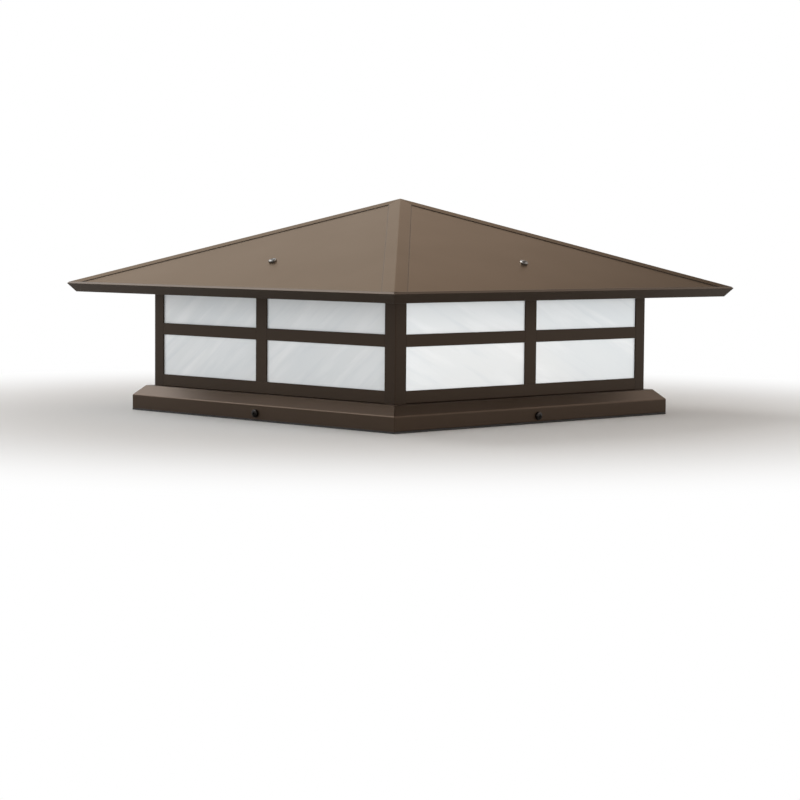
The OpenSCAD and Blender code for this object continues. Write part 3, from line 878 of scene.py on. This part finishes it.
def all_screws():
    """The roof's, the skirt's and the tray's screws, and the earth screw."""
    roof_place = shift(0, -ROOF_SCREW_OUT, roof_top(ROOF_SCREW_OUT)) @ Matrix.Rotation(SLOPE, 4, "X")
    turns = [Matrix.Rotation(math.radians(a), 4, "Z") for a in SCREW_TURNS]
    lay_screws(
        pan_screw(10 * MM, STAINLESS),
        [quarter(k) @ roof_place @ turns[k] for k in range(4)],
        "roof_screws_fine",
        "roof",
        "dark_steel",
        "roof_screws",
    )
    sideways = shift(0, -SKIRT, SKIRT_SCREW_Z) @ Matrix.Rotation(math.pi / 2, 4, "X")
    lay_screws(
        pan_screw(9.9 * MM, BLACKENED),
        [quarter(k) @ sideways @ turns[3 - k] for k in range(4)],
        "skirt_screws_fine",
        "housing",
        "dark_steel",
        "skirt_screws",
    )
    rim = [
        quarter(k) @ shift(x, -RIM_SCREW_OUT, TRAY_TOP)
        for k in range(4)
        for x in (-RIM_SCREW_SIDE, RIM_SCREW_SIDE)
    ]
    feet = [
        lamp_place(k) @ shift(x, 0, TRAY_TOP + HOLDER_FOOT)
        for k in range(4)
        for x in (-FOOT_SCREW_SIDE, FOOT_SCREW_SIDE)
    ]
    lay_screws(
        pan_screw(7.2 * MM, ZINC),
        rim + feet,
        "tray_screws_fine",
        "housing",
        "plated_steel",
        "tray_screws",
    )
    low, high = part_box("ground_screw")
    middle_point = (low + high) / 2
    lay_screws(
        pan_screw(2 * MM, EARTH_GREEN),
        [shift(middle_point.x, middle_point.y, 2 * MM)],
        "earth_screw",
        "base",
        "earth_green",
        "ground_screw",
    )


# ---- Lamps ----


def revolved(profile):
    """A closed solid from a profile (out, height) that starts and ends on the axis."""
    piece = line([(out, 0, height) for out, height in profile])
    spun(48)
    outwards()
    bpy.ops.object.mode_set(mode="OBJECT")
    return piece


def lamp_bulb():
    """Pear-shaped bulb of thin opal glass, open at its neck."""
    globe = 24 * MM
    neck = 12.5 * MM
    wall = 1 * MM
    centre = GLASS_TOP - globe
    round_side = arc((0, centre), globe, -25, 90, 22)
    end = round_side[0]
    rise = end[1] - CAP_TOP
    curve = [
        (neck + (end[0] - neck) * t * t * (3 - 2 * t), CAP_TOP + rise * t)
        for t in (i / 10 for i in range(10))
    ]
    piece = line([(out, 0, height) for out, height in curve + round_side])
    spun(48)
    face_away((0, 0, centre))
    thicken(piece, wall)
    smooth(piece, 60)
    paint(piece, OPAL)
    piece.data.transform(lamp_place(0))
    round_the_corners(piece, "bulb", "lamp", "lamp_glass", "lamp_glass")


def screw_cap():
    """Rolled nickel shell, black insulator and soldered tip."""
    shell_low = CAP_TOP - 22 * MM
    root = 12.1 * MM
    crest = 13 * MM
    pitch = 3.6 * MM
    shell = threaded(root, crest, pitch, shell_low, CAP_TOP - 3 * MM, ROUND_THREAD, 40)
    bpy.ops.object.mode_set(mode="OBJECT")
    collar = revolved(
        [
            (0, CAP_TOP - 3.2 * MM),
            (12.3 * MM, CAP_TOP - 3.2 * MM),
            (12.6 * MM, CAP_TOP - 2.4 * MM),
            (12.6 * MM, CAP_TOP - 0.4 * MM),
            (12.3 * MM, CAP_TOP),
            (0, CAP_TOP),
        ]
    )
    insulator = revolved(
        [
            (0, shell_low + 0.2 * MM),
            (11.9 * MM, shell_low + 0.2 * MM),
            (11.4 * MM, shell_low - 0.6 * MM),
            (5.4 * MM, shell_low - 2.8 * MM),
            (0, shell_low - 2.9 * MM),
        ]
    )
    tip = revolved(
        [
            (0, shell_low - 2.6 * MM),
            (4.5 * MM, shell_low - 2.6 * MM),
            (4.3 * MM, shell_low - 3.6 * MM),
            (3.2 * MM, CAP_LOW + 0.3 * MM),
            (1.2 * MM, CAP_LOW),
            (0, CAP_LOW),
        ]
    )
    for part, material in ((shell, NICKEL), (collar, NICKEL), (insulator, BLACK_GLASS), (tip, SOLDER)):
        paint(part, material)
    piece = join([shell, collar, insulator, tip])
    smooth(piece, 50)
    piece.data.transform(lamp_place(0))
    round_the_corners(piece, "screw_cap", "lamp", "lamp_metal", "lamp_cap")


def holder():
    """Glazed porcelain body with grooves, lined with a rolled nickel shell."""
    foot = holder_low.z
    top = holder_high.z
    foot_r = 28 * MM
    body_r = 18 * MM
    groove_r = 17 * MM
    bore = 14.2 * MM
    roll_r = 13.55 * MM
    roll_depth = 0.25 * MM
    roll_step = 0.45 * MM
    bottom = CAP_LOW - 0.3 * MM
    body = revolved(
        [
            (0, foot),
            (27.4 * MM, foot),
            (foot_r, foot + 0.6 * MM),
            (foot_r, foot + 5 * MM),
            (27 * MM, foot + HOLDER_FOOT),
            (19.5 * MM, foot + HOLDER_FOOT),
            (18.2 * MM, foot + 6.6 * MM),
            (body_r, foot + 8 * MM),
            (body_r, foot + 24 * MM),
            (groove_r, foot + 24.8 * MM),
            (groove_r, foot + 26.4 * MM),
            (body_r, foot + 27.2 * MM),
            (body_r, top - 6.4 * MM),
            (groove_r, top - 5.6 * MM),
            (groove_r, top - 4.8 * MM),
            (body_r, top - 4 * MM),
            (body_r, top - 1 * MM),
            (groove_r, top),
            (15 * MM, top),
            (bore, top - 0.8 * MM),
            (bore, bottom),
            (0, bottom),
        ]
    )
    lining = line(
        [
            (roll_r + roll_depth * math.cos(FULL_TURN * i / 8), 0, bottom + 3 * MM + roll_step * i)
            for i in range(50)
        ]
    )
    spun(40)
    bpy.ops.mesh.select_all(action="SELECT")
    bpy.ops.mesh.normals_make_consistent(inside=True)
    thicken(lining, 0.3 * MM)
    contact = revolved(
        [
            (0, bottom - 0.1 * MM),
            (5 * MM, bottom - 0.1 * MM),
            (4.6 * MM, bottom + 0.1 * MM),
            (0, bottom + 0.15 * MM),
        ]
    )
    for part, material in ((body, PORCELAIN), (lining, NICKEL), (contact, SOLDER)):
        paint(part, material)
    piece = join([body, lining, contact])
    smooth(piece, 40)
    piece.data.transform(lamp_place(0))
    round_the_corners(piece, "holder", "housing", "porcelain", "lampholder")


# ---- Small and hidden pieces: the node's own solid, merged and eased ----


def eased(node, name, body, slot, width, material):
    """A copy of a node with its loose triangles merged, its flats cleared and its edges eased."""
    if bpy.context.object and bpy.context.object.mode == "EDIT":
        bpy.ops.object.mode_set(mode="OBJECT")
    piece = twin(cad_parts[node], Matrix.Identity(4))
    piece.parent = None
    for key in list(piece.keys()):
        del piece[key]
    bpy.ops.object.select_all(action="DESELECT")
    bpy.context.view_layer.objects.active = piece
    piece.select_set(True)
    bpy.ops.object.mode_set(mode="EDIT")
    bpy.ops.mesh.select_all(action="SELECT")
    bpy.ops.mesh.remove_doubles(threshold=2 * WELD)
    bpy.ops.mesh.dissolve_limited(angle_limit=math.radians(0.5))
    bpy.ops.object.mode_set(mode="OBJECT")
    ease(piece, width)
    smooth(piece)
    paint(piece, material)
    fit(piece, name, body, slot, node)


def hidden_pieces():
    """The pieces that show little or not at all."""
    eased("base_gasket", "foam_seal", "housing", "black_rubber", 0.4 * MM, FOAM)
    eased("mounting_bracket", "bracket", "base", "plated_steel", 0.3 * MM, ZINC)
    eased("cable_grommet", "grommet", "base", "black_rubber", 0.4 * MM, RUBBER)
    eased("lead_bushing", "bushing", "housing", "black_rubber", 0.4 * MM, RUBBER)
    eased("lamp_tray", "tray", "housing", "white_enamel", 0.3 * MM, ENAMEL)
    eased("glass_clips", "clips", "housing", "plated_steel", 0.15 * MM, ZINC)
    eased("skirt_nuts", "nuts", "housing", "dark_steel", 0.2 * MM, BLACKENED)


# ---- Camera, floor and light ----


CAMERA_LENS = 107.80
CAMERA_PLACE = (1.8422, -1.7911, 0.19315)
CAMERA_LOOK = Vector((-0.71488, 0.69573, -0.07004))
CAMERA_ROLL = math.radians(0.429)

FLOOR_RADIUS = 9
# The floor's tone as it lights things, and as it is seen
FLOOR_LIGHTS = (0.88, 0.875, 0.87, 1)
FLOOR_SEEN = (0.92, 0.92, 0.91, 1)
# Distances from the middle between which the floor turns plain white
FLOOR_FADE = (0.34, 0.85)

LEFT = (-0.8, -0.6, 0)
RIGHT = (0.72, 0.69, 0)
UP = (0, 0, 1)
WHITE = (1, 1, 1, 1)
WARM_WHITE = (1.0, 0.90, 0.82, 1)
LEFT_BOX = Vector((-0.66, -0.20, 0.72)).normalized()
BACK_BOX = Vector((0.25, 0.65, 0.72)).normalized()
FRONT_BOX = Vector((-0.55, -0.50, 0.67)).normalized()
# Brightness of the walls where darkest and on the left, of the soft panel, and far on the right
WALL_DARK = 0.12
WALL_PALE = 1.08
PANEL_LIGHT = 1.4
RIGHT_LIGHT = 3.5
# Brightness of what only lights things, low down and high up
SKY_LOW = 1.3
SKY_HIGH = 0.35
# Each softbox with how narrow and how bright it is
SOFTBOXES = ((LEFT_BOX, 30.0, 1.8), (BACK_BOX, 45.0, 3.0), (FRONT_BOX, 16.0, 9.0))
# Each lamp's name, place, width, height and watts
LAMPS = (
    ("key", LEFT_BOX * 2.6, 1.2, 1.2, 10),
    ("right_fill", Vector((2.4, -0.5, 0.19)), 1.4, 0.3, 22),
    ("front_fill", Vector((-0.5, -2.4, 0.19)), 1.4, 0.3, 3),
)


def camera():
    """Long lens on the front right corner, from about the height of the roof."""
    data = bpy.data.cameras.new("camera")
    data.sensor_width = 36
    data.lens = CAMERA_LENS
    data.clip_start = 0.05
    data.clip_end = 60
    piece = bpy.data.objects.new("camera", data)
    bpy.context.scene.collection.objects.link(piece)
    piece.location = CAMERA_PLACE
    roll = Quaternion((0, 0, 1), CAMERA_ROLL)
    piece.rotation_mode = "QUATERNION"
    piece.rotation_quaternion = CAMERA_LOOK.to_track_quat("-Z", "Y") @ roll
    bpy.context.scene.camera = piece


def seen_rays(nodes, links):
    """1 for camera, mirror and see-through rays, 0 for those that only light things."""
    path = nodes.new("ShaderNodeLightPath")
    total = path.outputs["Is Camera Ray"]
    for ray in ("Is Glossy Ray", "Is Transmission Ray"):
        node = nodes.new("ShaderNodeMath")
        node.operation = "MAXIMUM"
        links.new(total, node.inputs[0])
        links.new(path.outputs[ray], node.inputs[1])
        total = node.outputs[0]
    return total


def floor():
    """Pale floor that keeps the shadow near the light and runs out into plain white."""
    bpy.ops.object.select_all(action="DESELECT")
    bpy.ops.mesh.primitive_circle_add(vertices=96, radius=FLOOR_RADIUS, fill_type="NGON")
    piece = bpy.context.object
    piece.name = "floor"
    material = bpy.data.materials.new("pale_floor")
    material.use_nodes = True
    nodes, links = material.node_tree.nodes, material.node_tree.links
    shader = nodes["Principled BSDF"]
    shader.inputs["Roughness"].default_value = 0.9
    shader.inputs["Specular IOR Level"].default_value = 0.1
    seen = seen_rays(nodes, links)
    tone = nodes.new("ShaderNodeMix")
    tone.data_type = "RGBA"
    tone.inputs[6].default_value = FLOOR_LIGHTS
    tone.inputs[7].default_value = FLOOR_SEEN
    links.new(seen, tone.inputs["Factor"])
    links.new(tone.outputs[2], shader.inputs["Base Color"])
    place = nodes.new("ShaderNodeTexCoord")
    reach = nodes.new("ShaderNodeVectorMath")
    reach.operation = "LENGTH"
    links.new(place.outputs["Object"], reach.inputs[0])
    away = nodes.new("ShaderNodeMapRange")
    away.interpolation_type = "SMOOTHSTEP"
    away.inputs["From Min"].default_value = FLOOR_FADE[0]
    away.inputs["From Max"].default_value = FLOOR_FADE[1]
    links.new(reach.outputs["Value"], away.inputs["Value"])
    white = nodes.new("ShaderNodeEmission")
    white.inputs["Strength"].default_value = 1
    blend = nodes.new("ShaderNodeMixShader")
    links.new(away.outputs["Result"], blend.inputs[0])
    links.new(shader.outputs[0], blend.inputs[1])
    links.new(white.outputs[0], blend.inputs[2])
    links.new(blend.outputs[0], nodes["Material Output"].inputs["Surface"])
    paint(piece, material)


def studio():
    """White all round up to eye level. Above it pale on the left, bright on the right, dark between.

    A soft panel hangs high on the left, and softboxes high on the left, at the back and in front.
    All this is what is seen and mirrored. What only lights things is pale low down and grey high
    up. Away from the left, both are a little warmer above eye level.
    """
    world = bpy.data.worlds.new("studio")
    bpy.context.scene.world = world
    world.use_nodes = True
    nodes, links = world.node_tree.nodes, world.node_tree.links
    way = nodes.new("ShaderNodeTexCoord").outputs["Generated"]

    def maths(operation, first, *numbers):
        """A Math node on a socket and further sockets or numbers."""
        node = nodes.new("ShaderNodeMath")
        node.operation = operation
        links.new(first, node.inputs[0])
        for socket, number in zip(node.inputs[1:], numbers):
            if isinstance(number, (int, float)):
                socket.default_value = number
            else:
                links.new(number, socket)
        return node.outputs[0]

    def along(direction):
        """How far a ray points in a direction, from -1 to 1."""
        node = nodes.new("ShaderNodeVectorMath")
        node.operation = "DOT_PRODUCT"
        node.inputs[1].default_value = direction
        links.new(way, node.inputs[0])
        return node.outputs["Value"]

    def blend(factor, low, high, first, second):
        """From the first to the second while the factor goes from low to high."""
        ramp = nodes.new("ShaderNodeMapRange")
        ramp.interpolation_type = "SMOOTHSTEP"
        ramp.inputs["From Min"].default_value = low
        ramp.inputs["From Max"].default_value = high
        links.new(factor, ramp.inputs["Value"])
        mix = nodes.new("ShaderNodeMix")
        mix.data_type = "FLOAT"
        links.new(ramp.outputs["Result"], mix.inputs["Factor"])
        for socket, value in ((mix.inputs[2], first), (mix.inputs[3], second)):
            if isinstance(value, (int, float)):
                socket.default_value = value
            else:
                links.new(value, socket)
        return mix.outputs[0]

    left = along(LEFT)
    high = along(UP)
    raised = blend(high, 0.35, 0.55, 0.0, 1.0)
    panel = maths("MULTIPLY", blend(left, 0.35, 0.6, 0.0, PANEL_LIGHT), raised)
    walls = maths("ADD", blend(left, -0.20, 0.07, WALL_DARK, WALL_PALE), panel)
    right = maths("MAXIMUM", maths("SUBTRACT", along(RIGHT), 0.3), 0)
    seen = maths("MULTIPLY_ADD", right, RIGHT_LIGHT, walls)
    for box, narrowness, light in SOFTBOXES:
        glow = maths("POWER", maths("MAXIMUM", along(box), 0), narrowness)
        seen = maths("MULTIPLY_ADD", glow, light, seen)
    seen = blend(high, 0.11, 0.30, 1.0, seen)
    plain = blend(high, 0.25, 0.6, SKY_LOW, SKY_HIGH)
    links.new(
        blend(seen_rays(nodes, links), 0, 1, plain, seen), nodes["Background"].inputs["Strength"]
    )
    away = blend(left, -0.1, 0.25, 1.0, 0.0)
    warmth = maths("MULTIPLY", away, blend(high, 0.15, 0.3, 0.0, 1.0))
    tint = nodes.new("ShaderNodeMix")
    tint.data_type = "RGBA"
    tint.inputs[6].default_value = WHITE
    tint.inputs[7].default_value = WARM_WHITE
    links.new(warmth, tint.inputs["Factor"])
    links.new(tint.outputs[2], nodes["Background"].inputs["Color"])
    for lamp in LAMPS:
        soft_lamp(*lamp)


def soft_lamp(name, place, width, height, watts):
    """A soft lamp turned to the middle of the light, which no camera and no polish sees."""
    data = bpy.data.lights.new(name, "AREA")
    data.shape = "RECTANGLE"
    data.size = width
    data.size_y = height
    data.energy = watts
    lamp = bpy.data.objects.new(name, data)
    bpy.context.scene.collection.objects.link(lamp)
    lamp.location = place
    lamp.rotation_mode = "QUATERNION"
    lamp.rotation_quaternion = (-place).to_track_quat("-Z", "Y")
    lamp.visible_camera = False
    lamp.visible_glossy = False


camera()
skirt_shell()
folded_post()
bottom_rail()
top_rail()
for side_number in range(4):
    bars(side_number)
pane()
hip_fold()
eave()
all_screws()
lamp_bulb()
screw_cap()
holder()
hidden_pieces()
for side_name in SIDES:
    paint(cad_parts[f"roof_panel_{side_name}"], ROOF_BRONZE)
floor()
studio()

scene = bpy.context.scene
scene.view_settings.view_transform = "Standard"
